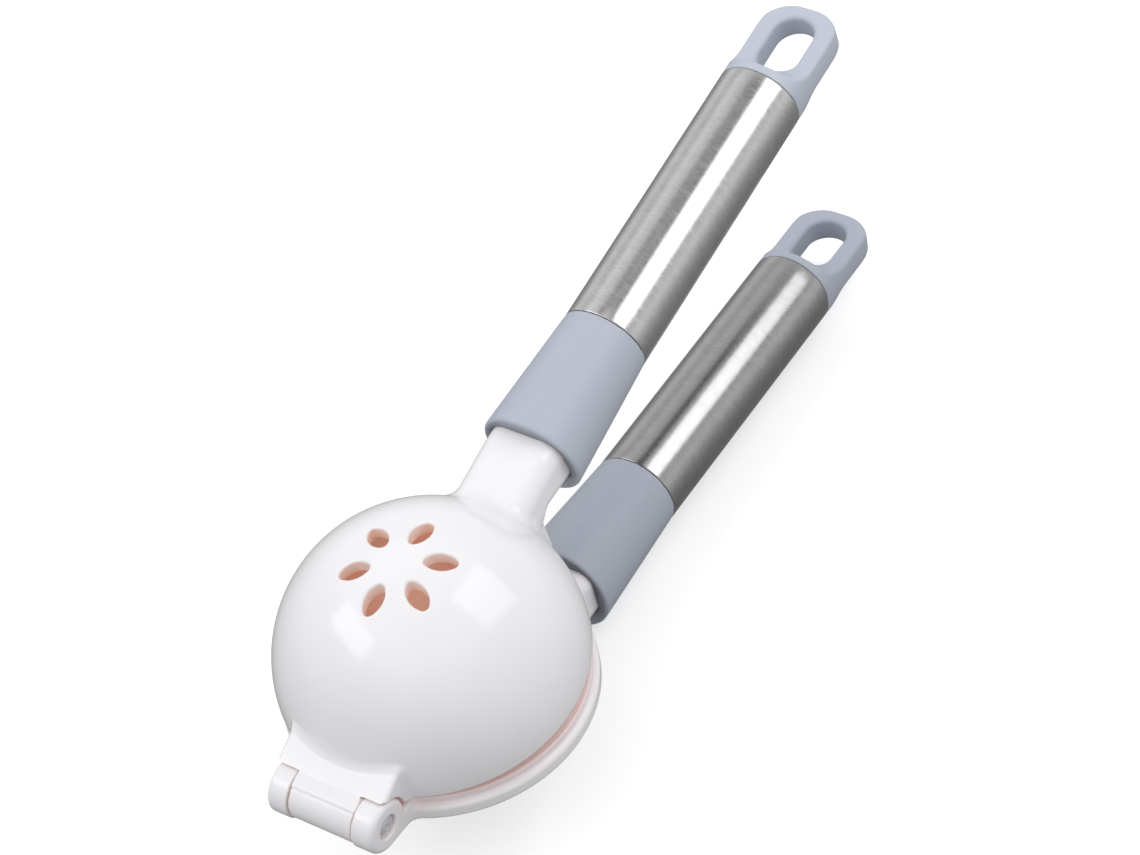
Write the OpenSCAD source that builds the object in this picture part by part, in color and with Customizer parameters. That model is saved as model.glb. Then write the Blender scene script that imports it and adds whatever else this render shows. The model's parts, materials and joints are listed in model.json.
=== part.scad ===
// Hand citrus squeezer: a perforated bowl arm and a press arm on one hinge pin,
// each with a steel-tube handle, a moulded ferrule and an end cap with a hanging loop.
// The whole tool lies along X: hinge at -X, handle tips at +X, bowl upwards (+Z).
// Each arm is drawn about the hinge axis with the tool shut, then swung and moved into place.

/* [Pose] */
// Angle by which the bowl arm is lifted from the shut position
opening = 6; // [0:1:12]

/* [Bowl and press] */
// Outer radius of the bowl
bowl_r = 35.5; // [34:0.5:36]
// Wall thickness of the bowl
bowl_wall = 2.4; // [2:0.2:3]
// Distance from the hinge axis to the axis of the bowl and press
bowl_x = 40.8; // [40:0.2:42]
// Length of one juice hole
petal_len = 8.6; // [7:0.2:9.5]
// Width of one juice hole
petal_w = 4.8; // [4:0.2:5.2]
// Angle of the juice holes from the top of the bowl
petal_polar = 16; // [15:0.5:19]
// Outer radius of the press dome
press_r = 30; // [28:0.2:30.4]
// Wall thickness of the press dome
press_wall = 2.4; // [2:0.2:3]
// Underside of the press rim below the hinge axis
rim_bottom = 7.3; // [6.5:0.1:8]
// Top of the press rim below the hinge axis
rim_top = 2.9; // [2.5:0.1:3.5]

/* [Hinge] */
// Radius of the middle knuckle, on the bowl arm
knuckle_mid_r = 6; // [5.5:0.1:6.2]
// Radius of the two outer knuckles, on the press arm
knuckle_out_r = 6.4; // [6.2:0.1:6.6]
// Radius of the pin's shank
pin_r = 2; // [1.6:0.1:2.2]

/* [Handles] */
// Outside diameter of the steel tubes
tube_d = 21; // [20:0.5:22]
// Wall thickness of the steel tubes
tube_wall = 0.7; // [0.6:0.1:1]
// Length of the steel tubes
tube_len = 74.2; // [65:0.2:80]
// Length of a ferrule
ferrule_len = 33.2; // [28:0.1:36]
// Radius of a ferrule at its mouth
ferrule_mouth_r = 12.4; // [12:0.1:13]
// Length of an end cap outside the tube
cap_len = 26; // [24:0.5:30]
// Angle of the upper handle to the bowl's rim plane
upper_handle_angle = 4.3; // [0:0.1:5]

/* [Hidden] */
$fn = 96;

eps = 0.01;
white = "#f4f3f6";
blue_grey = "#a9b3c2";
steel = "#b9b7b4";
core_white = "#dedbd4";
bright_steel = "#cfd0d2";

// Bowl
bowl_rise = 1.6;                       // straight wall below the hemisphere
bowl_inner_r = bowl_r - bowl_wall;
petal_count = 6;
petal_arc_r = (pow(petal_len / 2, 2) + pow(petal_w / 2, 2)) / petal_w;
petal_radius = (bowl_r - bowl_wall / 2) * sin(petal_polar);

// Press: a rim, a raised land that the bowl's edge comes down on, and a hollow dome
rim_wall = 2.6;
land_r = bowl_r - 1.2;
land_top = 0.9;                        // below the hinge axis
press_centre_z = 1;                    // the dome stands on a short straight wall
press_inner_r = press_r - press_wall;
web_bottom = 4.4;                      // underside of the flat web below the hinge axis

// Hinge, along Y; the knuckles are not equal
mid_y = [-8.3, 8.2];
knuckle_gap = 0.3;
right_end = -14.2;
left_end = 13.6;
barrel_gap = 0.5;                      // round the outer knuckles and round the middle one

// Tab of the bowl arm, which carries the middle knuckle
tab_half = 14.2;
tab_slope = [-2.2, 5.58];              // its top leaves the knuckle here
tab_dome = [8.6, 10];                  // and rises to here
tab_reach = 4;                         // how far it runs into the bowl's wall

// Lugs of the press arm, which carry the outer knuckles
lug_foot_x = 9;
lug_end_x = 16;
lug_step_x = 6.8;
lug_step_z = 0.8;                      // below the hinge axis
lug_rise = 2;                          // above the top of the rim

pin_fit = 0.05;                        // radial running clearance in the middle knuckle
pin_seat = 0.02;                       // radial clearance in the outer knuckles
pin_head_r = 2.7;
pin_head_h = 1.3;
pin_recess_r = 2.9;
pin_recess = 1.5;

// Handles: x = 0 at the ferrule's mouth, z = 0 on the tube's axis
tube_r = tube_d / 2;
tube_inner_r = tube_r - tube_wall;
plug_r = tube_inner_r - 0.05;          // everything that fits inside a tube
tube_start = ferrule_len;
tube_end = tube_start + tube_len;
handle_len = tube_end + cap_len;
mouth_round = 2;
ferrule_spigot = 7;
neck_w = 18.6;
neck_top = 7.8;
neck_bottom = -4.8;
neck_corner = 4.2;
neck_depth = 3;                        // how far the neck reaches into the ferrule
neck_run = 30;                         // from the ferrule's mouth back into the dome
tang_w = 12;
tang_h = 8;
tang_end = 74;
tang_fit = 0.1;
core_start = 42;
core_wall_x = tang_end + 0.2;          // inner face of the core's end wall
core_end = core_wall_x + 2.5;
core_body_r = 8.2;
flange_w = 3;
screw_r = 1.6;
screw_head_r = 3.4;
screw_head_h = 2.2;
screw_len = 14;
cap_spigot = 10;
cap_spigot_wall = 2;
cap_band = 2.4;                        // full round band next to the tube
scoop_r = 7;
tab_half_thick = 3.5;
cap_corner = 8.8;
loop_w = 10.4;
loop_start = 5.4;
loop_end = cap_len - 3.8;

// Where the handles sit about the hinge with the tool shut
lower_mouth = [86.9, -20.1];
upper_mouth = [88.7, 16.5];
lower_reach = lower_mouth[0] + handle_len;

// Outlines in X and Z, measured from the outer edge of the bowl or of the rim's top or underside
gusset_half = 8;
gusset = [[-7.5, 0.2], [2.2, 0.2], [1.6, 12.5], [-7.5, 14]];
swan_front = [[-7, 0], [-1.2, 0], [1.6, -1.4], [4, -5]];
swan_back = [[-8, -4], [-9, 0]];
swan_foot = 6.5;                       // where the front meets the neck's top
swan_foot_rise = 1.2;
swan_heel = 7;                         // length of neck under the handle's end of the bend
swan_back_x = -3;
swan_inset = 6;                        // its root keeps this much wall inside the rim's wall

// The origin is the centre of the lying tool's footprint
hinge_x = -(lower_reach - knuckle_out_r) / 2;
hinge_z = ferrule_mouth_r - mouth_round * (ferrule_mouth_r - tube_r) / ferrule_len
          - lower_mouth[1];

module press_place() {
    translate([hinge_x, 0, hinge_z]) children();
}

module bowl_place() {
    translate([hinge_x, 0, hinge_z]) rotate([0, -opening, 0]) children();
}

module lower_handle() {
    press_place() translate([lower_mouth[0], 0, lower_mouth[1]]) children();
}

module upper_handle() {
    bowl_place() translate([upper_mouth[0], 0, upper_mouth[1]])
        rotate([0, -upper_handle_angle, 0]) children();
}

// A cylinder along X from x0 to x1
module rod_x(x0, x1, r, r_end = -1) {
    translate([x0, 0, 0]) rotate([0, 90, 0])
        cylinder(h = x1 - x0, r1 = r, r2 = r_end < 0 ? r : r_end);
}

// A cylinder along Y from y0 to y1
module rod_y(y0, y1, r) {
    translate([0, y1, 0]) rotate([90, 0, 0]) cylinder(h = y1 - y0, r = r);
}

// The XZ outline in children(), extruded along Y from y0 to y1
module slab_y(y0, y1) {
    translate([0, y1, 0]) rotate([90, 0, 0]) linear_extrude(y1 - y0) children();
}

// A pointed oval, the long way along X
module petal_shape() {
    arc_y = petal_arc_r - petal_w / 2;
    intersection() {
        translate([0, arc_y]) circle(r = petal_arc_r);
        translate([0, -arc_y]) circle(r = petal_arc_r);
    }
}

// Rounded rectangle across a handle: Y is the first axis, Z the second
module neck_shape(grow = 0) {
    w = neck_w / 2 - neck_corner;
    square_w = neck_w + 2 * grow;
    h = neck_top - neck_bottom;
    translate([-neck_w / 2 + neck_corner, neck_bottom - grow])
        square([neck_w - 2 * neck_corner, h + 2 * grow]);
    translate([-square_w / 2, neck_bottom + neck_corner]) square([square_w, h - 2 * neck_corner]);
    for (y = [-w, w], z = [neck_bottom + neck_corner, neck_top - neck_corner])
        translate([y, z]) circle(r = neck_corner + grow);
}

// The neck's section carried along a handle from x0 to x1
module neck_bar(x0, x1, grow = 0) {
    translate([x0, 0, 0]) rotate([90, 0, 90]) linear_extrude(x1 - x0) neck_shape(grow);
}

// Tang inside the handle, with the pilot hole for the core screw
module tang(from_x) {
    difference() {
        translate([from_x, -tang_w / 2, -tang_h / 2]) cube([tang_end - from_x, tang_w, tang_h]);
        rod_x(tang_end - screw_len - 1, tang_end + 1, screw_r + pin_fit);
    }
}

// ---- the two arms -------------------------------------------------------------------------

module bowl_shell() {
    difference() {
        translate([bowl_x, 0, 0]) {
            cylinder(h = bowl_rise, r = bowl_r);
            translate([0, 0, bowl_rise]) intersection() {
                sphere(r = bowl_r);
                translate([-bowl_r, -bowl_r, 0]) cube([2 * bowl_r, 2 * bowl_r, bowl_r]);
            }
        }
        bowl_cavity();
        for (i = [0:petal_count - 1])
            translate([bowl_x, 0, bowl_rise]) rotate(i * 360 / petal_count)
                translate([petal_radius, 0, bowl_inner_r / 2]) linear_extrude(bowl_r)
                    petal_shape();
    }
}

module bowl_cavity() {
    translate([bowl_x, 0, -1]) cylinder(h = bowl_rise + 1, r = bowl_inner_r);
    translate([bowl_x, 0, bowl_rise]) sphere(r = bowl_inner_r);
}

// Block that carries the middle knuckle
module bowl_tab() {
    end_x = bowl_x - bowl_inner_r + tab_reach;
    difference() {
        slab_y(-tab_half, tab_half)
            polygon([[0, 0], [end_x, 0], [end_x, tab_dome[1]], tab_dome, tab_slope]);
        bowl_cavity();
    }
}

// Neck from the bowl to the ferrule, with a gusset under it down to the rim
module bowl_neck() {
    difference() {
        union() {
            translate([upper_mouth[0], 0, upper_mouth[1]]) rotate([0, -upper_handle_angle, 0]) {
                neck_bar(-neck_run, neck_depth);
                tang(neck_depth - eps);
            }
            translate([bowl_x + bowl_r, 0, 0]) slab_y(-gusset_half, gusset_half) polygon(gusset);
        }
        bowl_cavity();
    }
}

module strainer_bowl() {
    color(white) bowl_place() difference() {
        union() {
            difference() {
                union() {
                    bowl_shell();
                    bowl_tab();
                }
                for (y = [[-tab_half - 1, mid_y[0]], [mid_y[1], tab_half + 1]])
                    rod_y(y[0], y[1], knuckle_out_r + barrel_gap);
            }
            bowl_neck();
            rod_y(mid_y[0], mid_y[1], knuckle_mid_r);
        }
        rod_y(mid_y[0] - 1, mid_y[1] + 1, pin_r + pin_fit);
    }
}

// Rim, land and dome of the press, turned about the bowl's axis
module press_body() {
    translate([bowl_x, 0, 0]) difference() {
        union() {
            translate([0, 0, -rim_bottom]) cylinder(h = rim_bottom - rim_top, r = bowl_r + 0.1);
            translate([0, 0, -rim_top - eps]) cylinder(h = rim_top - land_top + eps, r = land_r);
            translate([0, 0, -rim_top]) cylinder(h = rim_top + press_centre_z, r = press_r);
            translate([0, 0, press_centre_z]) intersection() {
                sphere(r = press_r);
                translate([-press_r, -press_r, 0]) cube([2 * press_r, 2 * press_r, press_r]);
            }
        }
        translate([0, 0, -rim_bottom - 1])
            cylinder(h = rim_bottom - web_bottom + 1, r = bowl_r - rim_wall);
        translate([0, 0, -web_bottom - eps])
            cylinder(h = web_bottom + press_centre_z + eps, r = press_inner_r);
        translate([0, 0, press_centre_z]) sphere(r = press_inner_r);
    }
}

// One outer knuckle and the lug that joins it to the rim
module press_lug(y0, y1) {
    rod_y(y0, y1, knuckle_out_r);
    slab_y(y0, y1) polygon([[0, -knuckle_out_r], [lug_foot_x, -rim_bottom],
                            [lug_end_x, -rim_bottom], [lug_end_x, -rim_top],
                            [lug_foot_x, lug_rise - rim_top], [lug_step_x, -lug_step_z],
                            [0, -lug_step_z]]);
}

// Swan neck from the rim down to the lower handle
module press_neck() {
    mx = lower_mouth[0];
    mz = lower_mouth[1];
    edge = bowl_x + bowl_r;
    difference() {
        slab_y(-neck_w / 2, neck_w / 2)
            polygon([for (p = swan_front) [edge + p[0], p[1] - rim_top],
                     [edge + swan_foot, mz + neck_top + swan_foot_rise],
                     [mx - 1, mz + neck_top], [mx - 1, mz + neck_bottom],
                     [mx - swan_heel, mz + neck_bottom], [edge + swan_back_x, mz + 1],
                     for (p = swan_back) [edge + p[0], p[1] - rim_bottom]]);
        translate([bowl_x, 0, mz])
            cylinder(h = -web_bottom - mz, r = bowl_r - rim_wall - swan_inset);
    }
    translate([mx, 0, mz]) {
        neck_bar(-3, neck_depth);
        tang(neck_depth - eps);
    }
}

module press_cup() {
    color(white) press_place() difference() {
        union() {
            difference() {
                union() {
                    press_body();
                    press_neck();
                }
                rod_y(mid_y[0] - knuckle_gap, mid_y[1] + knuckle_gap, knuckle_mid_r + barrel_gap);
            }
            press_lug(right_end, mid_y[0] - knuckle_gap);
            press_lug(mid_y[1] + knuckle_gap, left_end);
        }
        rod_y(right_end - 1, left_end + 1, pin_r + pin_seat);
        rod_y(right_end - 1, right_end + pin_recess, pin_recess_r);
        rod_y(left_end - pin_recess, left_end + 1, pin_recess_r);
    }
}

// ---- hinge hardware -----------------------------------------------------------------------

// Headed pin; its head lies in the recess of the thick outer knuckle
module hinge_pin() {
    color(bright_steel) press_place() {
        rod_y(right_end + pin_recess - eps, left_end - 0.3, pin_r);
        difference() {
            rod_y(right_end + pin_recess - pin_head_h, right_end + pin_recess, pin_head_r);
            rod_y(right_end + pin_recess - pin_head_h - 1,
                  right_end + pin_recess - pin_head_h + 0.3, pin_r * 0.6);
        }
    }
}

// Push-on washer on the pin's far end, in the recess of the thin outer knuckle
module pin_retainer() {
    color(bright_steel) press_place() difference() {
        rod_y(left_end - pin_recess + 0.02, left_end - pin_recess + 0.82, pin_head_r);
        rod_y(left_end - pin_recess - 1, left_end, pin_r + pin_seat);
    }
}

// ---- one handle, mouth at x = 0 -----------------------------------------------------------

module ferrule() {
    slope = (ferrule_mouth_r - tube_r) / ferrule_len;
    mouth_r = ferrule_mouth_r - mouth_round * slope;
    color(blue_grey) difference() {
        union() {
            rod_x(mouth_round, ferrule_len, mouth_r, tube_r);
            rod_x(0, mouth_round + eps, mouth_r - mouth_round);
            translate([mouth_round, 0, 0]) rotate([0, 90, 0]) rotate_extrude()
                translate([mouth_r - mouth_round, 0]) intersection() {
                    circle(r = mouth_round);
                    translate([0, -mouth_round]) square([mouth_round, mouth_round]);
                }
            rod_x(ferrule_len - eps, ferrule_len + ferrule_spigot, plug_r);
        }
        neck_bar(-1, neck_depth + tang_fit, tang_fit);
        translate([0, -tang_w / 2 - tang_fit, -tang_h / 2 - tang_fit])
            cube([ferrule_len + ferrule_spigot + 1, tang_w + 2 * tang_fit, tang_h + 2 * tang_fit]);
    }
}

module tube() {
    color(steel) difference() {
        rod_x(tube_start, tube_end, tube_r);
        rod_x(tube_start - 1, tube_end + 1, tube_inner_r);
    }
}

// Moulded core that holds the tang in the middle of the tube: a sleeve with three flanges
module core() {
    color(core_white) difference() {
        union() {
            rod_x(core_start, core_end, core_body_r);
            for (x = [core_start, (core_start + core_end - flange_w) / 2, core_end - flange_w])
                rod_x(x, x + flange_w, plug_r);
        }
        translate([core_start - 1, -tang_w / 2 - tang_fit, -tang_h / 2 - tang_fit])
            cube([core_wall_x - core_start + 1, tang_w + 2 * tang_fit, tang_h + 2 * tang_fit]);
        rod_x(core_wall_x - 1, core_end + 1, screw_r + 0.2);
    }
}

// Pan-head screw that draws the tang into the core
module core_screw() {
    color(bright_steel) difference() {
        union() {
            rod_x(tang_end - screw_len, core_end + eps, screw_r);
            rod_x(core_end, core_end + screw_head_h, screw_head_r);
        }
        for (a = [0, 90])
            rotate([a, 0, 0]) translate([core_end + screw_head_h - 1.2, -2, -0.4])
                cube([2, 4, 0.8]);
    }
}

// Plan outline of an end cap, seam at x = 0
module cap_plan() {
    flat = tube_r - cap_corner;
    translate([0, -tube_r]) square([cap_len - cap_corner, tube_d]);
    translate([0, -flat]) square([cap_len, 2 * flat]);
    for (y = [-flat, flat]) translate([cap_len - cap_corner, y]) circle(r = cap_corner);
}

// Material taken from the top (side = 1) or the underside (side = -1) of an end cap
module cap_scoop(side) {
    edge = cap_band + scoop_r;
    mirror([0, 0, side < 0 ? 1 : 0]) {
        translate([edge, 0, tube_r]) rod_y(-tube_r - 1, tube_r + 1, scoop_r);
        translate([edge, -tube_r - 1, tab_half_thick])
            cube([cap_len, tube_d + 2, tube_r]);
    }
}

module end_cap() {
    color(blue_grey) translate([tube_end, 0, 0]) {
        difference() {
            intersection() {
                rod_x(0, cap_len, tube_r);
                translate([0, 0, -tube_r - 1]) linear_extrude(tube_d + 2) cap_plan();
            }
            cap_scoop(1);
            cap_scoop(-1);
            translate([0, 0, -tube_r - 1]) linear_extrude(tube_d + 2) {
                for (x = [loop_start, loop_end])
                    translate([x + (x == loop_start ? 1 : -1) * loop_w / 2, 0])
                        circle(r = loop_w / 2);
                translate([loop_start + loop_w / 2, -loop_w / 2])
                    square([loop_end - loop_start - loop_w, loop_w]);
            }
        }
        difference() {
            rod_x(-cap_spigot, eps, plug_r);
            rod_x(-cap_spigot - 1, -cap_spigot_wall, plug_r - cap_spigot_wall);
        }
    }
}

module upper_ferrule() { upper_handle() ferrule(); }
module upper_tube() { upper_handle() tube(); }
module upper_core() { upper_handle() core(); }
module upper_core_screw() { upper_handle() core_screw(); }
module upper_end_cap() { upper_handle() end_cap(); }
module lower_ferrule() { lower_handle() ferrule(); }
module lower_tube() { lower_handle() tube(); }
module lower_core() { lower_handle() core(); }
module lower_core_screw() { lower_handle() core_screw(); }
module lower_end_cap() { lower_handle() end_cap(); }

strainer_bowl();
press_cup();
hinge_pin();
pin_retainer();
upper_ferrule();
upper_tube();
upper_core();
upper_core_screw();
upper_end_cap();
lower_ferrule();
lower_tube();
lower_core();
lower_core_screw();
lower_end_cap();
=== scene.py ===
"""Hand citrus squeezer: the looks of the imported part.

The two moulded arms, the ferrules, the tubes, the end caps and the hinge hardware are meshed here from
signed distance functions and lathed profiles, in millimetres, and set into the part's own frame. The
cores and their screws, which lie inside the handles, stay the CAD's own nodes.
"""
import json
import math

import bpy
import numpy as np
import openvdb
from mathutils import Matrix


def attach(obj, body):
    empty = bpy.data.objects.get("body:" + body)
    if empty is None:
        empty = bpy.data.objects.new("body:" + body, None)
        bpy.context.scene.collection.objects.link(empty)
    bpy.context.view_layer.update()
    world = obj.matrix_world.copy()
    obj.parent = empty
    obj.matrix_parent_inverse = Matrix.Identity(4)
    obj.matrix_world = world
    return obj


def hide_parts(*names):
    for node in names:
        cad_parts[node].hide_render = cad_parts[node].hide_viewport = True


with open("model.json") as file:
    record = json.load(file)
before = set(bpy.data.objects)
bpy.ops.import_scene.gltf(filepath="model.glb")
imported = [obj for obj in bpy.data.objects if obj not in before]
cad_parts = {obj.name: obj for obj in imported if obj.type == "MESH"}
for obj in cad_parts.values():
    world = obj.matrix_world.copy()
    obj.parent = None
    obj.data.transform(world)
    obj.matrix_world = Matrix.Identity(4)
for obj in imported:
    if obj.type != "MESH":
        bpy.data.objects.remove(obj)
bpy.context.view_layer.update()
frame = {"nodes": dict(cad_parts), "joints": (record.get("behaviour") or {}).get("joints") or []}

MM = 0.001
scene = bpy.context.scene

# ---- sizes, in millimetres -------------------------------------------------------------------
# Each arm is drawn about the hinge axis with the tool shut, as X to the handle tips and Z up.
HINGE = [c / MM for c in frame["joints"][0]["pos_m"]]
OPENING = -frame["joints"][0]["range_deg"][0]        # degrees from shut to the pose at rest

BOWL_R, BOWL_WALL, BOWL_X, BOWL_RISE = 35.5, 2.4, 40.8, 1.6
BOWL_END = BOWL_X + BOWL_R
BOWL_CROWN = 1.5                                     # extra wall at the top of the bowl, round the holes
BOWL_EDGE = -0.3
PETAL_LEN, PETAL_W, PETAL_POLAR, PETALS = 7.2, 4.4, 16.0, 6
PETAL_TIP, PETAL_TIP_R = 0.4, 1.1                    # a hole's two arcs cross past its rounded tip
PRESS_R, PRESS_WALL, PRESS_Z = 30.0, 2.4, 1.0
RIM_R, RIM_BOTTOM, RIM_TOP, RIM_WALL = BOWL_R + 0.1, -7.3, -2.9, 2.6
LAND_R, LAND_TOP, WEB_BOTTOM = 34.3, -0.9, -4.4

KNUCKLE_MID_R, KNUCKLE_OUT_R, BARREL_GAP = 6.0, 6.4, 0.35
MID_Y, OUT_Y, KNUCKLE_GAP = (-8.3, 8.2), (-14.2, 13.6), 0.2
TAB_HALF, TAB_TOP, TAB_FRONT = 14.2, (8.6, 10), (-2.2, 5.58)
PIN_R, PIN_PLAY, PIN_PRESS = 2.0, 0.05, 0.02         # play in the bowl arm's knuckle and in the press arm's
PIN_HEAD_R, PIN_HEAD_H, PIN_CHAMFER = 2.7, 1.3, 0.5
RECESS_R, RECESS, WASHER_T = 2.9, 1.5, 0.8

TUBE_R, TUBE_WALL, TUBE_LEN = 10.5, 0.7, 74.2
FERRULE_LEN, FERRULE_R, FERRULE_SPIGOT = 33.2, 12.4, 7.0
TUBE_START = FERRULE_LEN
TUBE_END = FERRULE_LEN + TUBE_LEN
PLUG_R = TUBE_R - TUBE_WALL - 0.05
NECK_HALF, NECK_TOP, NECK_BOTTOM, NECK_DRAFT = 9.6, 7.8, -4.7, 0.07
NECK_CORNERS = (4.4, 3.8)                            # at its top and at its bottom
NECK_IN_FERRULE, NECK_CLEARANCE = 3.1, 0.12
TANG_W, TANG_HALF, TANG_CORNER, TANG_PLAY = 12, 4, 0.6, 0.1
TANG_START, TANG_END = 2.5, 74
CAP_LEN, CAP_BAND, SCOOP_R, CAP_THICK, CAP_CORNER = 26.0, 2.4, 7.0, 3.5, 8.8
CAP_SPIGOT, CAP_SPIGOT_WALL = 10, 2
LOOP_W, LOOP_START, LOOP_END = 10.4, 5.4, CAP_LEN - 3.8
LOWER_MOUTH, UPPER_MOUTH, UPPER_ANGLE = (86.9, -20.1), (88.7, 16.5), 4.3

FAR = 99.0                                           # past the side of either arm


# ---- where the arms and handles sit ----------------------------------------------------------

def shift(x, y, z):
    return Matrix.Translation((x, y, z))


def tilt(degrees):
    """Turns about Y so that +X rises."""
    return Matrix.Rotation(math.radians(-degrees), 4, "Y")


PRESS_PLACE = Matrix.Scale(MM, 4) @ shift(*HINGE)
BOWL_PLACE = PRESS_PLACE @ tilt(OPENING)
LOWER_HANDLE = PRESS_PLACE @ shift(LOWER_MOUTH[0], 0, LOWER_MOUTH[1])
UPPER_HANDLE = BOWL_PLACE @ shift(UPPER_MOUTH[0], 0, UPPER_MOUTH[1]) @ tilt(UPPER_ANGLE)


# ---- signed distances ------------------------------------------------------------------------
# Each takes arrays of coordinates and gives the distance outside (+) or inside (-) a shape.

def union(a, b, r):
    """The two shapes together, with a fillet of radius r where they meet."""
    u, v = np.maximum(r - a, 0), np.maximum(r - b, 0)
    return np.maximum(r, np.minimum(a, b)) - np.sqrt(u * u + v * v)


def both(a, b, r=0.0):
    """What the two shapes share, with its new edge rounded to radius r."""
    if r == 0:
        return np.maximum(a, b)
    u, v = np.maximum(r + a, 0), np.maximum(r + b, 0)
    return np.minimum(-r, np.maximum(a, b)) + np.sqrt(u * u + v * v)


def cut(a, b, r=0.0):
    """The first shape without the second, with the new edge rounded."""
    return both(a, -b, r)


def slab(t, low, high):
    return np.maximum(low - t, t - high)


def ring(u, v, r):
    return np.sqrt(u * u + v * v) - r


def domed(x, y, z, r):
    """A hemisphere on a straight wall that runs down from z = 0."""
    up = np.maximum(z, 0)
    return np.sqrt(x * x + y * y + up * up) - r


def outline(u, v, points):
    """A polygon in u and v."""
    dist = np.full(u.shape, 1e9, np.float32)
    inside = np.zeros(u.shape, bool)
    for (ax, ay), (bx, by) in zip(points, points[1:] + points[:1]):
        ex, ey = bx - ax, by - ay
        t = np.clip(((u - ax) * ex + (v - ay) * ey) / (ex * ex + ey * ey), 0, 1)
        dist = np.minimum(dist, (u - ax - t * ex) ** 2 + (v - ay - t * ey) ** 2)
        if ay != by:
            crosses = ((v >= ay) != (v >= by)) & (u < ax + (v - ay) * ex / ey)
            inside ^= crosses
    dist = np.sqrt(dist)
    return np.where(inside, -dist, dist)


def bar(y, z, width, low, high, corner):
    """A bar along X, rounded across."""
    half = (high - low) / 2
    qy = np.abs(y) - width / 2 + corner
    qz = np.abs(z - (low + high) / 2) - half + corner
    outer = np.sqrt(np.maximum(qy, 0) ** 2 + np.maximum(qz, 0) ** 2)
    return outer + np.minimum(np.maximum(qy, qz), 0) - corner


def neck_sides(y, z):
    """The two sides of a neck, which lean in towards its top."""
    return (np.abs(y) + NECK_DRAFT * z - NECK_HALF) / math.hypot(1, NECK_DRAFT)


def tang(y, z, along):
    """The flat tongue that runs into a handle; along is measured from the handle's mouth."""
    section = bar(y, z, TANG_W, -TANG_HALF, TANG_HALF, TANG_CORNER)
    return np.maximum(section, slab(along, TANG_START, TANG_END))


def turned(x, z, place, degrees):
    """x and z in the frame of a handle whose mouth is at place."""
    a = math.radians(degrees)
    dx, dz = x - place[0], z - place[1]
    return dx * math.cos(a) + dz * math.sin(a), dz * math.cos(a) - dx * math.sin(a)


# ---- the bowl arm ----------------------------------------------------------------------------

def petals(x, y):
    """The ring of pointed holes, seen from above."""
    arc_r = ((PETAL_LEN / 2 + PETAL_TIP) ** 2 + (PETAL_W / 2) ** 2) / PETAL_W
    centre = (BOWL_R - BOWL_WALL / 2) * math.sin(math.radians(PETAL_POLAR))
    reach = arc_r - PETAL_W / 2
    best = np.full(x.shape, 1e9, np.float32)
    for i in range(PETALS):
        a = 2 * math.pi * i / PETALS
        u = x * math.cos(a) + y * math.sin(a) - centre
        v = y * math.cos(a) - x * math.sin(a)
        best = np.minimum(best, both(ring(u, v - reach, arc_r), ring(u, v + reach, arc_r), PETAL_TIP_R))
    return best


def tab(x, y, z):
    """The tab that joins the bowl to the hinge, level on top and then sloping down over the knuckles."""
    end, floor_z = BOWL_X - BOWL_R + BOWL_WALL + 5, -8
    side = outline(x, z, [(0, floor_z), (end, floor_z), (end, TAB_TOP[1]), TAB_TOP, TAB_FRONT, (0, 0)])
    return both(side, np.abs(y) - TAB_HALF, r=0.9)


def knuckle_notch(x, y, z, low, high):
    """The room that an outer knuckle needs beside the middle one, from low to high in y."""
    front, floor_z = 0.8, -1
    slot = np.maximum(slab(x, -FAR, front), floor_z - z)
    way = np.minimum(ring(x, z, KNUCKLE_OUT_R + BARREL_GAP), slot)
    return np.maximum(way, slab(y, low, high))


def upper_neck(x, y, z):
    """The neck into the upper ferrule; near the bowl its top falls away and its underside rises."""
    top_slope, top_bend, under_slope, length = 0.12, -3.6, 0.08, 34
    along, up = turned(x, z, UPPER_MOUTH, UPPER_ANGLE)
    top = both(up - NECK_TOP, up - NECK_TOP - top_slope * (along - top_bend), r=0.5)
    under = NECK_BOTTOM - up - under_slope * np.minimum(along, 0)
    body = both(both(neck_sides(y, up), top, NECK_CORNERS[0]), under, NECK_CORNERS[1])
    return np.maximum(body, slab(along, -length, NECK_IN_FERRULE))


def gusset(x, y, z):
    """The web that fills the corner between the bowl's wall and the neck."""
    side = outline(x - BOWL_END, z, [(-9, 0.2), (2.2, 0.2), (1.6, 13), (-9, 15)])
    return both(side, np.abs(y) - NECK_HALF + 0.6, r=2.2)


def bowl_arm(x, y, z):
    bx, bz = x - BOWL_X, z - BOWL_RISE
    body = union(domed(bx, y, bz, BOWL_R), tab(x, y, z), r=1.6)
    body = union(body, upper_neck(x, y, z), r=2.6)
    body = union(body, gusset(x, y, z), r=3.4)
    body = both(body, BOWL_EDGE - z, r=0.45)
    for low, high in ((-FAR, MID_Y[0]), (MID_Y[1], FAR)):
        body = cut(body, knuckle_notch(x, y, z, low, high), r=0.2)
    barrel = both(ring(x, z, KNUCKLE_MID_R), slab(y, *MID_Y), r=0.2)
    body = union(body, barrel, r=0.8)
    body = cut(body, domed(bx, y, bz + BOWL_CROWN, BOWL_R - BOWL_WALL), r=0.4)
    hole_floor = 10
    body = cut(body, np.maximum(petals(bx, y), hole_floor - z), r=0.55)
    along, up = turned(x, z, UPPER_MOUTH, UPPER_ANGLE)
    body = np.minimum(body, tang(y, up, along))
    return cut(body, ring(x, z, PIN_R + PIN_PLAY), r=0.2)


# ---- the press arm ---------------------------------------------------------------------------

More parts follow.
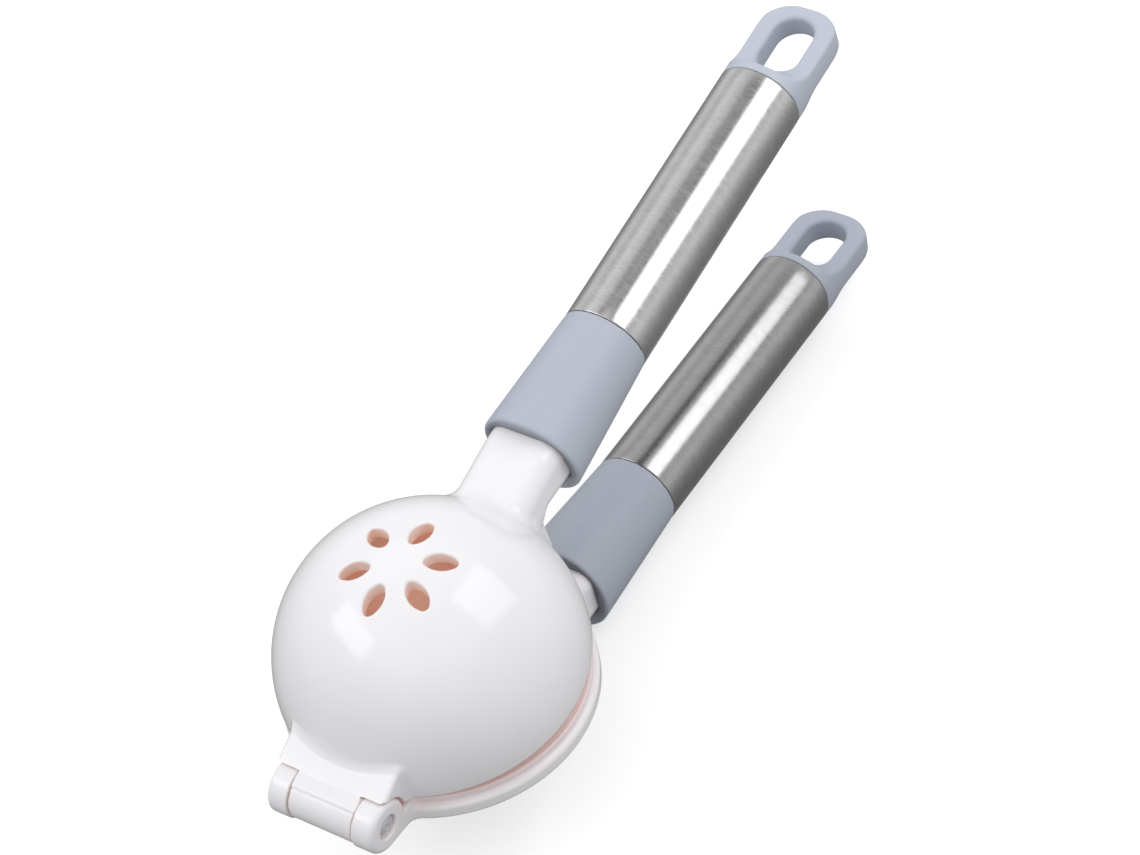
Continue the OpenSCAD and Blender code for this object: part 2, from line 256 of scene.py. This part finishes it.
def swan_neck(x, y, z):
    """The neck that dips from the rim to the lower ferrule."""
    mx, mz = LOWER_MOUTH
    inside = mx + NECK_IN_FERRULE - 0.1
    top_line = [(BOWL_END - 7, RIM_TOP - 0.6), (BOWL_END - 1.2, RIM_TOP - 0.4),
                (BOWL_END + 1.8, RIM_TOP - 1.6), (BOWL_END + 4, RIM_TOP - 5),
                (BOWL_END + 6.5, mz + NECK_TOP + 1.2), (inside, mz + NECK_TOP)]
    under_line = [(inside, mz + NECK_BOTTOM), (mx - 7, mz + NECK_BOTTOM), (BOWL_END - 3, mz + 1),
                  (BOWL_END - 8, RIM_BOTTOM - 4), (BOWL_END - 9, RIM_BOTTOM + 1)]
    return both(outline(x, z, top_line + under_line), neck_sides(y, z - mz), r=3.6)


def outer_knuckles(x, z):
    """Both outer knuckles from the side: a barrel, and the lug that carries it down to the rim."""
    top_line = [(16, RIM_TOP), (9, RIM_TOP + 2), (6.6, -0.8), (0, -0.8)]
    under_line = [(0, -KNUCKLE_OUT_R), (4.5, -KNUCKLE_OUT_R - 0.3), (9, RIM_BOTTOM), (16, RIM_BOTTOM)]
    return np.minimum(ring(x, z, KNUCKLE_OUT_R), outline(x, z, under_line + top_line))


def press_hollow(bx, y, z, radial):
    """The open underside within the rim, but for a block left solid where the neck joins."""
    within = radial - BOWL_R + RIM_WALL
    block_depth, block_half = 6, NECK_HALF + 0.5
    block = np.maximum(np.maximum(-(within + block_depth), np.abs(y) - block_half), -bx)
    return np.maximum(np.maximum(within, z - WEB_BOTTOM), -block)


def press_arm(x, y, z):
    bx = x - BOWL_X
    radial = np.sqrt(bx * bx + y * y)
    rim = both(radial - RIM_R, slab(z, RIM_BOTTOM, RIM_TOP), r=1.3)
    land = both(radial - LAND_R, slab(z, RIM_TOP - 1, LAND_TOP), r=0.5)
    dome = np.maximum(domed(bx, y, z - PRESS_Z, PRESS_R), RIM_TOP - z)
    body = union(union(rim, land, r=0.5), dome, r=1.5)
    body = union(body, swan_neck(x, y, z), r=2.5)
    body = cut(body, press_hollow(bx, y, z, radial), r=0.6)
    side = outer_knuckles(x, z)
    for sign, inner, outer, edge_r in ((-1, -MID_Y[0], -OUT_Y[0], 1.4), (1, MID_Y[1], OUT_Y[1], 0.9)):
        lug = both(side, sign * y - outer, edge_r)
        lug = both(lug, inner + KNUCKLE_GAP - sign * y, r=0.2)
        body = union(body, lug, r=1.2)
    barrel_way = both(ring(x, z, KNUCKLE_MID_R + BARREL_GAP),
                      slab(y, MID_Y[0] - KNUCKLE_GAP, MID_Y[1] + KNUCKLE_GAP))
    body = cut(body, barrel_way, r=0.3)
    body = cut(body, domed(bx, y, z - PRESS_Z, PRESS_R - PRESS_WALL), r=0.4)
    body = np.minimum(body, tang(y, z - LOWER_MOUTH[1], x - LOWER_MOUTH[0]))
    body = cut(body, ring(x, z, PIN_R + PIN_PRESS), r=0.15)
    for low, high in ((-FAR, OUT_Y[0] + RECESS), (OUT_Y[1] - RECESS, FAR)):
        body = cut(body, np.maximum(ring(x, z, RECESS_R), slab(y, low, high)), r=0.25)
    return body


# ---- one handle, mouth at x = 0 --------------------------------------------------------------

def ferrule(x, y, z):
    """A tapered collar with a spigot into the tube, a mouth for the neck and a slot for the tang."""
    radial = np.sqrt(y * y + z * z)
    slope = (FERRULE_R - TUBE_R) / FERRULE_LEN
    cone = (radial - FERRULE_R + slope * x) * math.cos(math.atan(slope))
    body = both(both(cone, -x, r=0.8), x - FERRULE_LEN, r=0.15)
    spigot = np.maximum(radial - PLUG_R, slab(x, FERRULE_LEN - 1, FERRULE_LEN + FERRULE_SPIGOT))
    body = np.minimum(body, spigot)
    neck = both(neck_sides(y, z), z - NECK_TOP, NECK_CORNERS[0])
    neck = both(neck, NECK_BOTTOM - z, NECK_CORNERS[1])
    body = cut(body, np.maximum(neck - NECK_CLEARANCE, x - NECK_IN_FERRULE - 0.1), r=0.35)
    slot_half = TANG_HALF + TANG_PLAY
    return cut(body, bar(y, z, TANG_W + 2 * TANG_PLAY, -slot_half, slot_half, TANG_CORNER - TANG_PLAY))


def end_cap(x, y, z):
    """A cap scooped flat above and below, with a slotted loop and a hollow spigot into the tube.

    Its own x = 0 is where the tube ends.
    """
    radial = np.sqrt(y * y + z * z)
    qx = x - (CAP_LEN - CAP_CORNER)
    qy = np.abs(y) - (TUBE_R - CAP_CORNER)
    plan = (np.sqrt(np.maximum(qx, 0) ** 2 + np.maximum(qy, 0) ** 2)
            + np.minimum(np.maximum(qx, qy), 0) - CAP_CORNER)
    body = both(radial - TUBE_R + 0.02, -x, r=0.25)
    scoop_x = CAP_BAND + SCOOP_R
    height = np.abs(z)
    away = np.minimum(ring(x - scoop_x, height - TUBE_R, SCOOP_R),
                      np.maximum(scoop_x - x, CAP_THICK - height))
    body = cut(body, away, r=1.0)
    body = both(body, plan, r=1.6)
    mid, half = (LOOP_START + LOOP_END) / 2, (LOOP_END - LOOP_START - LOOP_W) / 2
    loop = np.sqrt(np.maximum(np.abs(x - mid) - half, 0) ** 2 + y * y) - LOOP_W / 2
    body = cut(body, loop, r=1.3)
    spigot = np.maximum(radial - PLUG_R, slab(x, -CAP_SPIGOT, 0.5))
    spigot = cut(spigot, np.maximum(radial - PLUG_R + CAP_SPIGOT_WALL, x + CAP_SPIGOT_WALL))
    return np.minimum(body, spigot)


# ---- meshes ----------------------------------------------------------------------------------

def sample(shape, low, high, step):
    """shape on a grid, in slices so that the arrays stay small."""
    axes = [np.arange(a - 2 * step, b + 2.5 * step, step, dtype=np.float32) for a, b in zip(low, high)]
    field = np.empty([len(a) for a in axes], np.float32)
    slices = 16
    for i in range(0, len(axes[0]), slices):
        grid = np.meshgrid(axes[0][i:i + slices], axes[1], axes[2], indexing="ij")
        field[i:i + slices] = shape(*grid)
    return field, np.array([a[0] for a in axes])


def slope_of(shape, p):
    """The unit direction in which the distance grows, at each point."""
    parts = []
    h = 0.02
    for axis in range(3):
        off = np.zeros(3)
        off[axis] = h
        parts.append(shape(*(p + off).T) - shape(*(p - off).T))
    g = np.stack(parts, 1) / (2 * h)
    return g / np.maximum(np.linalg.norm(g, axis=1), 1e-6)[:, None]


def mesh_object(name, points, faces, place, normals=None):
    """An object at the frame's origin; place is worked into its vertices."""
    mesh = bpy.data.meshes.new(name)
    place_np = np.array(place)
    world = points @ place_np[:3, :3].T + place_np[:3, 3]
    mesh.vertices.add(len(world))
    mesh.vertices.foreach_set("co", world.astype(np.float32).ravel())
    size = faces.shape[1]
    mesh.loops.add(faces.size)
    mesh.loops.foreach_set("vertex_index", faces.astype(np.int32).ravel())
    mesh.polygons.add(len(faces))
    mesh.polygons.foreach_set("loop_start", np.arange(0, faces.size, size, dtype=np.int32))
    mesh.update(calc_edges=True)
    mesh.validate()
    mesh.shade_smooth()
    if normals is not None and len(mesh.vertices) == len(normals):
        turn = place_np[:3, :3] / np.linalg.norm(place_np[:3, 0])
        mesh.normals_split_custom_set_from_vertices((normals @ turn.T).tolist())
    made = bpy.data.objects.new(name, mesh)
    scene.collection.objects.link(made)
    return made


def grown(name, shape, low, high, place, step):
    """Meshes a signed distance, then moves each vertex onto the exact surface."""
    field, corner = sample(shape, low, high, step)
    band = 3 * step
    grid = openvdb.FloatGrid(band)
    grid.copyFromArray(np.clip(field, -band, band))
    points, quads = grid.convertToQuads(0.0)
    points = points.astype(np.float64) * step + corner
    for _ in range(3):
        move = shape(*points.T)[:, None] * slope_of(shape, points)
        points -= np.clip(move, -0.5 * step, 0.5 * step)
    return mesh_object(name, points, quads, place, slope_of(shape, points))


def lathe(name, profile, place, segments=160):
    """Turns a closed profile of (x, radius) points about X."""
    profile = np.array(profile)
    angles = np.linspace(0, 2 * math.pi, segments, endpoint=False)
    n = len(profile)
    points = np.stack([np.repeat(profile[:, 0][None], segments, 0),
                       np.cos(angles)[:, None] * profile[:, 1],
                       np.sin(angles)[:, None] * profile[:, 1]], 2).reshape(-1, 3)
    i, j = np.meshgrid(np.arange(segments), np.arange(n), indexing="ij")
    i2, j2 = (i + 1) % segments, (j + 1) % n
    quads = np.stack([i * n + j, i * n + j2, i2 * n + j2, i2 * n + j], 2).reshape(-1, 4)
    return mesh_object(name, points, quads, place)


def arc(cx, cy, r, start, end):
    """Points on an arc, from start to end in degrees."""
    return [(cx + r * math.cos(math.radians(a)), cy + r * math.sin(math.radians(a)))
            for a in np.linspace(start, end, 6)]


def tube(name, place):
    """A drawn tube whose ends are turned in a little over the plastic."""
    lip, seam, inner = 0.3, 0.12, TUBE_R - TUBE_WALL
    x0, x1 = TUBE_START + seam, TUBE_END - seam
    lengths = np.linspace(x0 + lip, x1 - lip, 24)
    outside = [(x, TUBE_R) for x in lengths]
    profile = (arc(x0 + lip, TUBE_R - lip, lip, 180, 90)[:-1] + outside
               + arc(x1 - lip, TUBE_R - lip, lip, 90, 0)[1:]
               + [(x, inner) for x in lengths[::-1]])
    return lathe(name, profile, place)


def hinge_place():
    """Local +X runs along the hinge towards -Y."""
    return PRESS_PLACE @ Matrix.Rotation(math.radians(-90), 4, "Z")


def hinge_pin(name):
    """A shank with a low domed head, dimpled in its middle, in the recess of the thick knuckle."""
    under = -OUT_Y[0] - RECESS
    face = under + PIN_HEAD_H
    tail = -OUT_Y[1] + 0.3
    crown, crown_r = 0.66, 0.8
    shank = [(tail, 0), (tail, PIN_R - PIN_CHAMFER), (tail + PIN_CHAMFER, PIN_R), (under, PIN_R)]
    head = [(face - 0.04 - crown * (r / PIN_HEAD_R) ** 2, r) for r in np.linspace(PIN_HEAD_R, crown_r, 9)]
    dimple = [(face - 0.14, 0.6), (face - 0.3, 0.35), (face - 0.34, 0)]
    return lathe(name, shank + [(under, PIN_HEAD_R)] + head + dimple, hinge_place(), segments=96)


def pin_retainer(name):
    """A push-on washer with a rounded rim, a hair clear of its recess's floor."""
    near = -OUT_Y[1] + RECESS - WASHER_T - 0.02
    far = near + WASHER_T
    near_r, far_r, inner = 0.3, 0.2, PIN_R + PIN_PRESS
    profile = (arc(far - far_r, PIN_HEAD_R - far_r, far_r, 90, 0) + [(far, inner)] + [(near, inner)]
               + arc(near + near_r, PIN_HEAD_R - near_r, near_r, 180, 90))
    return lathe(name, profile[::-1], hinge_place(), segments=96)


# ---- materials -------------------------------------------------------------------------------

class Nodes:
    """A material's node tree, with short calls to add to it."""

    def __init__(self, name):
        self.material = bpy.data.materials.new(name)
        self.material.use_nodes = True
        self.tree = self.material.node_tree
        self.shader = self.tree.nodes["Principled BSDF"]
        self.coords = self.tree.nodes.new("ShaderNodeTexCoord").outputs["Object"]

    def add(self, kind, **settings):
        node = self.tree.nodes.new("ShaderNode" + kind)
        for key, value in settings.items():
            setattr(node, key, value)
        return node

    def link(self, source, target):
        self.tree.links.new(source, target)

    def stretched(self, scale=(1, 1, 1), turn=0.0):
        """Object coordinates turned about Y, then scaled."""
        spin = self.add("Mapping")
        spin.inputs["Rotation"].default_value = (0, math.radians(turn), 0)
        self.link(self.coords, spin.inputs["Vector"])
        grow = self.add("Mapping")
        grow.inputs["Scale"].default_value = scale
        self.link(spin.outputs["Vector"], grow.inputs["Vector"])
        return grow.outputs["Vector"]

    def noise(self, vector, scale, detail, roughness=0.5):
        node = self.add("TexNoise")
        self.link(vector, node.inputs["Vector"])
        for key, value in (("Scale", scale), ("Detail", detail), ("Roughness", roughness)):
            node.inputs[key].default_value = value
        return node.outputs["Fac"]

    def ranged(self, value, low, high, to_low, to_high):
        node = self.add("MapRange")
        self.link(value, node.inputs["Value"])
        for key, number in (("From Min", low), ("From Max", high), ("To Min", to_low), ("To Max", to_high)):
            node.inputs[key].default_value = number
        return node.outputs["Result"]

    def mottle(self, value, low, high):
        """Noise spread from low to high; nearly all of it lies between 0.3 and 0.7."""
        return self.ranged(value, 0.3, 0.7, low, high)

    def openness(self, reach):
        """How much open space lies within reach, from 0 in a crevice to 1."""
        node = self.add("AmbientOcclusion", samples=8)
        node.inputs["Distance"].default_value = reach
        return node.outputs["AO"]

    def times(self, first, second):
        node = self.add("Math", operation="MULTIPLY")
        self.link(first, node.inputs[0])
        self.link(second, node.inputs[1])
        return node.outputs[0]

    def blend(self, factor, first, second):
        """A colour between first and second; each is a socket or three numbers."""
        node = self.add("Mix", data_type="RGBA")
        self.link(factor, node.inputs[0])
        for index, colour in ((6, first), (7, second)):
            if isinstance(colour, tuple):
                node.inputs[index].default_value = (*colour, 1)
            else:
                self.link(colour, node.inputs[index])
        return node.outputs[2]

    def bump(self, height, depth, strength, under=None):
        node = self.add("Bump")
        self.link(height, node.inputs["Height"])
        node.inputs["Distance"].default_value = depth
        node.inputs["Strength"].default_value = strength
        if under is not None:
            self.link(under, node.inputs["Normal"])
        self.link(node.outputs["Normal"], self.shader.inputs["Normal"])
        return node.outputs["Normal"]

    def finish(self, colour, roughness, **fixed):
        self.link(colour, self.shader.inputs["Base Color"])
        self.link(roughness, self.shader.inputs["Roughness"])
        for key, value in fixed.items():
            self.shader.inputs[key.replace("_", " ")].default_value = value
        return self.material


def frame_x(x):
    """The frame's X, in metres, of a place x mm from the hinge; object coordinates are the frame's."""
    return MM * (HINGE[0] + x)


def white_plastic(name, has_land):
    """Gloss white, a little see-through, with painted shade: sheltered places are painted pink and
    crevices a warm orange-pink with a painted glow, in place of light that reaches them only through the
    wall.

    The painted shade is weaker at the thick hinge end and at the necks. The press's land, under the bowl's
    edge, has a painted pink shade instead.
    """
    n = Nodes(name)
    plain = n.stretched()
    white = n.blend(n.mottle(n.noise(plain, 60, 2), 0, 1), (0.870, 0.854, 0.876), (0.890, 0.874, 0.896))
    sky = n.openness(14 * MM)
    place = n.add("SeparateXYZ")
    n.link(n.coords, place.inputs[0])
    x = place.outputs["X"]
    # Where the painted shade may show: weaker at the hinge end and at the necks.
    painted_shade_reach = n.times(n.ranged(x, frame_x(KNUCKLE_OUT_R), frame_x(KNUCKLE_OUT_R + 4), 0.35, 1),
                   n.ranged(x, frame_x(BOWL_END + 1.1), frame_x(BOWL_END + 5.6), 1, 0.15))
    # Painted shade from the openness: pink in sheltered places, warm orange-pink with a painted glow in
    # deep crevices.
    painted_pink_shade = n.times(n.ranged(sky, 0.74, 0.45, 0, 1), painted_shade_reach)
    depth = n.times(n.ranged(sky, 0.45, 0.12, 0, 1), painted_shade_reach)
    # The painted shade's colours: warm orange-pink, the painted glow, and pink.
    painted_shade_salmon, painted_glow, painted_shade_rosy = (0.84, 0.62, 0.51), (0.150, 0.080, 0.057), (0.90, 0.77, 0.71)
    if has_land:
        flat = n.add("CombineXYZ")
        n.link(x, flat.inputs["X"])
        n.link(place.outputs["Y"], flat.inputs["Y"])
        away = n.add("VectorMath", operation="DISTANCE")
        n.link(flat.outputs["Vector"], away.inputs[0])
        away.inputs[1].default_value = (frame_x(BOWL_X), 0, 0)
        radius = away.outputs["Value"]
        # Painted pink shade on the land under the bowl's edge, weaker towards the handle.
        band = n.times(n.ranged(radius, MM * (LAND_R + 0.5), MM * (LAND_R - 0.5), 0, 1),
                       n.ranged(radius, MM * PRESS_R, MM * (PRESS_R + 2), 0, 1))
        strength = n.ranged(x, frame_x(BOWL_X + 1.1), frame_x(BOWL_END + 0.6), 1, 0.5)
        white = n.blend(n.times(band, strength), white, (0.85, 0.67, 0.67))
        # Off the dome the painted shade is pinker and the painted glow all but goes.
        off_dome = n.ranged(radius, MM * (PRESS_R - 4), MM * (PRESS_R + 1), 0, 1)
        painted_shade_salmon = n.blend(off_dome, (0.83, 0.61, 0.51), (0.80, 0.60, 0.59))
        painted_glow = n.blend(off_dome, painted_glow, (0.02, 0.01, 0.01))
        painted_shade_rosy = (0.87, 0.75, 0.745)
    # The painted shade goes into the colour and the painted glow into the emission.
    colour = n.blend(depth, n.blend(painted_pink_shade, white, painted_shade_rosy), painted_shade_salmon)
    n.link(n.blend(depth, (0.0, 0.0, 0.0), painted_glow), n.shader.inputs["Emission Color"])
    n.bump(n.noise(plain, 220, 2), depth=0.01 * MM, strength=0.4)
    return n.finish(colour, n.mottle(n.noise(plain, 900, 4), 0.10, 0.16), IOR=1.46, Emission_Strength=1.0)


def grey_plastic(name, dark, light, cap_gain):
    """Matt blue-grey, paler at the cap, with painted shade in the corner between a ferrule's mouth and the
    neck.
    """
    n = Nodes(name)
    plain = n.stretched()
    place = n.add("SeparateXYZ")
    n.link(n.coords, place.inputs[0])
    x = place.outputs["X"]
    mouth = LOWER_MOUTH[0]
    cap_end = n.ranged(x, frame_x(mouth + 40), frame_x(mouth + 80), 0, 1)
    colour = n.blend(n.mottle(n.noise(plain, 45, 4), 0, 1), dark, light)
    colour = n.blend(cap_end, colour, tuple(cap_gain * c for c in light))
    # Painted shade: sheltered places near a ferrule's mouth are darkened.
    corner = n.times(n.ranged(n.openness(6 * MM), 0.96, 0.62, 0, 1),
                     n.ranged(x, frame_x(mouth + 20), frame_x(mouth + 30), 1, 0))
    colour = n.blend(corner, colour, tuple(0.35 * c for c in dark))
    n.bump(n.noise(plain, 2600, 3, 0.6), depth=0.03 * MM, strength=0.55)
    return n.finish(colour, n.mottle(n.noise(plain, 500, 4), 0.42, 0.54), IOR=1.45)


def brushed_steel(name, turn, shade):
    """Steel brushed round a tube tilted by turn degrees; shade scales how bright it is, as painted shade:
    the lower tube's copy is darker.
    """
    n = Nodes(name)
    fine = n.noise(n.stretched((900, 110, 110), turn), 4.5, 5, 0.65)
    broad = n.noise(n.stretched((120, 60, 60), turn), 3.0, 4, 0.6)
    fine_share = 0.6
    tone = n.add("Math", operation="MULTIPLY_ADD")
    n.link(fine, tone.inputs[0])
    tone.inputs[1].default_value = fine_share
    n.link(n.ranged(broad, 0, 1, 0, 1 - fine_share), tone.inputs[2])
    dark, light = (tuple(shade * c for c in tint) for tint in ((0.54, 0.53, 0.53), (0.66, 0.655, 0.655)))
    colour = n.blend(n.ranged(tone.outputs[0], 0.34, 0.66, 0, 1), dark, light)
    under = n.bump(broad, depth=0.04 * MM, strength=0.35)
    n.bump(fine, depth=0.02 * MM, strength=0.6, under=under)
    return n.finish(colour, n.mottle(fine, 0.14, 0.28), Metallic=1.0)


def bright_steel():
    n = Nodes("bright_steel")
    plain = n.stretched()
    colour = n.blend(n.mottle(n.noise(plain, 700, 3), 0, 1), (0.72, 0.72, 0.75), (0.84, 0.84, 0.87))
    n.bump(n.noise(plain, 1800, 3), depth=0.03 * MM, strength=0.4)
    return n.finish(colour, n.mottle(n.noise(plain, 1500, 3), 0.30, 0.44), Metallic=0.6)


def core_plastic():
    n = Nodes("core_plastic")
    plain = n.stretched()
    colour = n.blend(n.mottle(n.noise(plain, 80, 4), 0, 1), (0.70, 0.68, 0.62), (0.78, 0.76, 0.71))
    n.bump(n.noise(plain, 1200, 3), depth=0.04 * MM, strength=0.5)
    return n.finish(colour, n.mottle(n.noise(plain, 600, 3), 0.45, 0.6), IOR=1.47)


def wear(piece, material):
    piece.data.materials.clear()
    piece.data.materials.append(material)


# ---- the pieces ------------------------------------------------------------------------------

WHITE = {"bowl": white_plastic("white_plastic_bowl", has_land=False),
         "press": white_plastic("white_plastic_press", has_land=True)}
STEEL = bright_steel()
CORE = core_plastic()
# The lower handle's grey is darker than the upper's: painted shade.
GREY = {"upper": grey_plastic("grey_plastic_upper", (0.435, 0.470, 0.545), (0.455, 0.490, 0.565), 1.10),
        "lower": grey_plastic("grey_plastic_lower", (0.382, 0.414, 0.486), (0.402, 0.434, 0.506), 1.03)}


def place_piece(piece, body, node, material):
    wear(piece, material)
    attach(piece, body)
    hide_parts(node)


def arm(name, shape, mouth, heights, place, step):
    """A moulded arm; the box that it is sampled in reaches a little past it all round."""
    start, half, end = -7, 37, mouth[0] + TANG_END + 2
    return grown(name, shape, (start, -half, heights[0]), (end, half, heights[1]), place, step)


place_piece(arm("bowl_moulding", bowl_arm, UPPER_MOUTH, (-6.5, 39), BOWL_PLACE, 0.48),
            "bowl_arm", "strainer_bowl", WHITE["bowl"])
place_piece(arm("press_moulding", press_arm, LOWER_MOUTH, (-26, 32), PRESS_PLACE, 0.5),
            "press_arm", "press_cup", WHITE["press"])
place_piece(hinge_pin("dimpled_pin"), "press_arm", "hinge_pin", STEEL)
place_piece(pin_retainer("pin_washer"), "press_arm", "pin_retainer", STEEL)


def handle(side, body, place, turn, shade):
    """A ferrule, a tube and an end cap in line, over the core and screw that the CAD gives."""
    half = FERRULE_R + 0.5
    sleeve = grown(side + "_sleeve", ferrule, (0, -half, -half), (FERRULE_LEN + FERRULE_SPIGOT, half, half),
                   place, 0.42)
    place_piece(sleeve, body, side + "_ferrule", GREY[side])
    steel = brushed_steel("brushed_steel_" + side, turn, shade)
    place_piece(tube(side + "_brushed_tube", place), body, side + "_tube", steel)
    cap = grown(side + "_loop_cap", end_cap, (-CAP_SPIGOT, -TUBE_R, -TUBE_R), (CAP_LEN, TUBE_R, TUBE_R),
                place @ shift(TUBE_END, 0, 0), 0.36)
    place_piece(cap, body, side + "_end_cap", GREY[side])
    wear(frame["nodes"][side + "_core"], CORE)
    wear(frame["nodes"][side + "_core_screw"], STEEL)


# The lower handle's steel is painted darker than the upper's: painted shade.
handle("upper", "bowl_arm", UPPER_HANDLE, OPENING + UPPER_ANGLE, 0.95)
handle("lower", "press_arm", LOWER_HANDLE, 0.0, 0.66)


# ---- stage, light and camera -----------------------------------------------------------------

def floor():
    """Seen by the camera only, so that the room below the horizon can be darker in reflections."""
    half, drop = 4.0, 0.1
    points = np.array([(-half, -half, 0), (half, -half, 0), (half, half, 0), (-half, half, 0)]) / MM
    made = mesh_object("floor", points, np.array([[0, 1, 2, 3]]), Matrix.Scale(MM, 4) @ shift(0, 0, -drop))
    n = Nodes("floor")
    tone = n.blend(n.mottle(n.noise(n.stretched(), 6, 3), 0, 1), (0.66, 0.66, 0.665), (0.68, 0.68, 0.68))
    n.link(tone, n.shader.inputs["Emission Color"])
    n.finish(tone, n.mottle(n.noise(n.stretched(), 40, 3), 0.85, 0.95),
             Emission_Strength=0.74, Specular_IOR_Level=0.0)
    wear(made, n.material)
    made.visible_diffuse = made.visible_glossy = made.visible_shadow = False


def facing(aim, azimuth, elevation, distance, roll):
    """A place that looks at aim from distance metres away, turned by roll about its line of sight."""
    around = Matrix.Rotation(math.radians(azimuth), 4, "Z")
    down = Matrix.Rotation(math.radians(90 - elevation), 4, "Y")
    return (Matrix.Translation(aim) @ around @ down @ Matrix.Translation((0, 0, distance))
            @ Matrix.Rotation(math.radians(roll), 4, "Z"))


def soft_light(name, size, radiance, place):
    """A rectangular panel; its power follows from the radiance of its face."""
    light = bpy.data.lights.new(name, "AREA")
    light.shape = "RECTANGLE"
    light.size, light.size_y = size
    light.energy = radiance * math.pi * size[0] * size[1]
    made = bpy.data.objects.new(name, light)
    made.matrix_world = place
    scene.collection.objects.link(made)


def room():
    """A pale room, brightest high up at the hinge end, dim straight overhead and below.

    Each stop holds a height from -1 to 1, the level there, and how much it grows along +X and along +Y.
    """
    stops = ((-1, 0.18, 0.00, 0.00), (-0.64, 0.25, 0.03, -0.02), (-0.42, 0.29, 0.08, -0.05),
             (-0.21, 0.37, 0.16, -0.09), (0, 0.64, 0.23, -0.03), (0.15, 0.81, 0.23, 0.01),
             (0.3, 0.77, 0.08, 0.02), (0.5, 0.72, -0.22, 0.06), (0.68, 1.05, -0.41, 0.21),
             (0.82, 0.89, -0.58, 0.31), (0.9, 0.87, -0.62, 0.36), (0.945, 0.29, -0.43, 0.31),
             (1, 0.21, -0.43, 0.31))
    world = bpy.data.worlds.new("room")
    world.use_nodes = True
    scene.world = world
    tree = world.node_tree
    coords = tree.nodes.new("ShaderNodeTexCoord").outputs["Generated"]
    split = tree.nodes.new("ShaderNodeSeparateXYZ")
    tree.links.new(coords, split.inputs[0])
    height = tree.nodes.new("ShaderNodeMapRange")
    height.inputs["From Min"].default_value = -1
    tree.links.new(split.outputs["Z"], height.inputs["Value"])
    ramp_node = tree.nodes.new("ShaderNodeValToRGB")
    tree.links.new(height.outputs["Result"], ramp_node.inputs["Fac"])
    elements = ramp_node.color_ramp.elements
    for z, level, along_x, along_y in stops:
        elements.new((z + 1) / 2).color = (level, 1 + along_x, 1 + along_y, 1)
    elements.remove(elements[0])
    elements.remove(elements[-1])
    parts = tree.nodes.new("ShaderNodeVectorMath")
    parts.operation = "SUBTRACT"
    parts.inputs[1].default_value = (0, 1, 1)
    tree.links.new(ramp_node.outputs["Color"], parts.inputs[0])
    towards = tree.nodes.new("ShaderNodeCombineXYZ")
    towards.inputs["X"].default_value = 1
    tree.links.new(split.outputs["X"], towards.inputs["Y"])
    tree.links.new(split.outputs["Y"], towards.inputs["Z"])
    total = tree.nodes.new("ShaderNodeVectorMath")
    total.operation = "DOT_PRODUCT"
    tree.links.new(parts.outputs["Vector"], total.inputs[0])
    tree.links.new(towards.outputs["Vector"], total.inputs[1])
    tree.links.new(total.outputs["Value"], tree.nodes["Background"].inputs["Strength"])
    tree.nodes["Background"].inputs["Color"].default_value = (1, 1, 1, 1)


def camera():
    """Looks down on the tool from the hinge end, at its right, as the photo does."""
    data = bpy.data.cameras.new("camera")
    data.sensor_width = 36
    data.lens = 117.27
    data.clip_start, data.clip_end = 0.01, 50
    made = bpy.data.objects.new("camera", data)
    aim = (0.00069, 0.00544, 0.04396)
    made.matrix_world = facing(aim, azimuth=-139.312, elevation=45.794, distance=0.85056, roll=78.273)
    scene.collection.objects.link(made)
    scene.camera = made


floor()
soft_light("key", (0.475, 0.42), 2.2,
           facing((0, 0, 0.05), azimuth=-51, elevation=48, distance=0.70, roll=56))
soft_light("strip", (0.24, 0.54), 2.35,
           facing((-0.06, 0, 0.05), azimuth=133, elevation=41, distance=0.80, roll=12))
room()
camera()
scene.view_settings.view_transform = "Standard"
